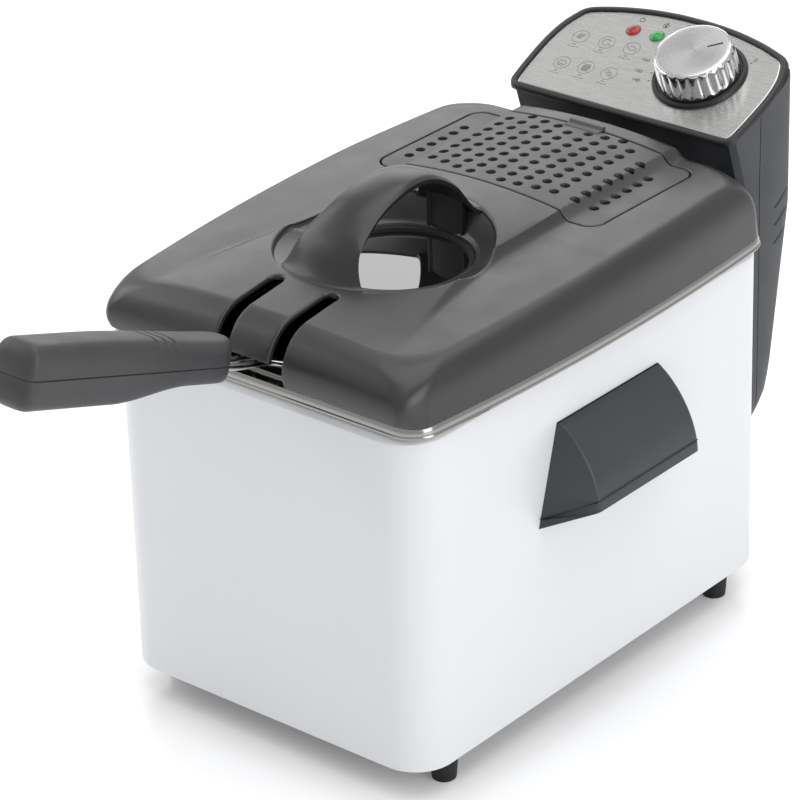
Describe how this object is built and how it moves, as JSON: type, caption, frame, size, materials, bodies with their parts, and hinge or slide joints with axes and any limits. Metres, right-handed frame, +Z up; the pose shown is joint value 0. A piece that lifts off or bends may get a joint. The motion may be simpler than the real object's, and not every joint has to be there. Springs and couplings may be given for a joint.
{
  "type": "deep fryer",
  "caption": "Household deep fryer: enamelled box body with side grips, lift-out oil pot and wire basket, windowed lid with filter, and a lift-off control head with heating element.",
  "frame": {"origin": "middle of the outline's plan, on the surface that the feet stand on", "axes": "+Z up, the basket grip points to -Y, the control head is at +Y, +X is to the right of a person who faces the grip end and looks towards +Y"},
  "size_m": [0.2538, 0.5252, 0.2846],
  "materials": {
    "white_enamel": "smooth satin enamel",
    "charcoal_plastic": "fine matt texture",
    "black_plastic": "matt",
    "lid_plastic": "metallic grey, fine grain",
    "steel": "brushed",
    "satin_fascia": "fine brushed",
    "wire_chrome": "bright",
    "knob_chrome": "satin chrome",
    "smoked_glass": "tinted",
    "seal_rubber": "matt",
    "red_lens": "clear red",
    "green_lens": "clear green",
    "red_button": "smooth",
    "white_ceramic": "cream",
    "copper": "plain",
    "brass": "plain",
    "element_sheath": "heat-darkened",
    "filter_media": "knitted mesh"
  },
  "bodies": {
    "housing": {"outer_shell": "white_enamel", "base_plate": "black_plastic", "feet": "seal_rubber", "foot_screws": "steel", "base_screws": "steel", "carry_handle_right": "charcoal_plastic", "carry_handle_left": "charcoal_plastic", "carry_trim_right": "charcoal_plastic", "carry_trim_left": "charcoal_plastic", "carry_screws": "steel", "head_rail": "steel", "rail_screws": "steel"},
    "pot": {"oil_pot": "steel"},
    "head": {"head_front": "charcoal_plastic", "head_rear": "charcoal_plastic", "panel_bezel": "charcoal_plastic", "fascia_plate": "satin_fascia", "knob_ring": "black_plastic", "lamp_red": "red_lens", "lamp_green": "green_lens", "lamp_holders": "white_ceramic", "thermostat": "white_ceramic", "capillary_tube": "copper", "sensor_bulb": "steel", "sensor_clamp": "steel", "thermal_cutout": "black_plastic", "interlock_switch": "black_plastic", "terminal_block": "white_ceramic", "inner_leads": "copper", "element_plate": "steel", "element_nuts": "brass", "heating_element": "element_sheath", "cord_gland": "black_plastic", "head_screws": "steel", "reset_spring": "steel"},
    "reset_button": {"reset_button": "red_button"},
    "knob": {"knob_skirt": "knob_chrome", "knob_cap": "knob_chrome", "knob_pointer": "black_plastic", "thermostat_shaft": "steel"},
    "basket": {"basket_rim": "wire_chrome", "basket_mesh": "wire_chrome", "basket_bracket": "wire_chrome", "drain_hooks": "wire_chrome", "handle_wires": "wire_chrome", "grip_upper": "charcoal_plastic", "grip_lower": "charcoal_plastic", "grip_screws": "steel"},
    "lid": {"lid_shell": "lid_plastic", "recess_bowl": "lid_plastic", "lid_grip": "lid_plastic", "window_glass": "smoked_glass", "window_seal": "seal_rubber", "lid_gasket": "seal_rubber"},
    "filter": {"filter_frame": "black_plastic", "filter_mesh": "filter_media"},
    "filter_cover": {"filter_cover": "lid_plastic"},
    "filter_latch": {"filter_latch": "lid_plastic"}
  },
  "joints": [
    {"name": "pot_lift", "type": "slide", "parent": "housing", "child": "pot", "axis": [0, 0, 1], "range_m": [0, 0.16]},
    {"name": "head_lift", "type": "slide", "parent": "pot", "child": "head", "axis": [0, 0, 1], "range_m": [0, 0.15]},
    {"name": "basket_lift", "type": "slide", "parent": "head", "child": "basket", "axis": [0, 0, 1], "range_m": [0, 0.14]},
    {"name": "lid_lift", "type": "slide", "parent": "basket", "child": "lid", "axis": [0, 0, 1], "range_m": [0, 0.12]},
    {"name": "filter_lift", "type": "slide", "parent": "lid", "child": "filter", "axis": [0, 0, 1], "range_m": [0, 0.03]},
    {"name": "cover_tilt", "type": "hinge", "parent": "filter", "child": "filter_cover", "pos_m": [0, 0.08103, 0.2475], "axis": [1, 0, 0], "range_deg": [0, 75]},
    {"name": "latch_press", "type": "slide", "parent": "filter_cover", "child": "filter_latch", "axis": [0, -1, 0], "range_m": [0, 0.002], "stiffness_N_per_m": 400, "springref_m": -0.001},
    {"name": "knob_turn", "type": "hinge", "parent": "head", "child": "knob", "pos_m": [0.0271, 0.22835, 0.26172], "axis": [0, -0.3811, 0.9245], "range_deg": [-285, 0]},
    {"name": "reset_press", "type": "slide", "parent": "head", "child": "reset_button", "axis": [0, -1, 0], "range_m": [0, 0.0015], "stiffness_N_per_m": 500, "springref_m": -0.001, "deforming": ["reset_spring"]}
  ]
}
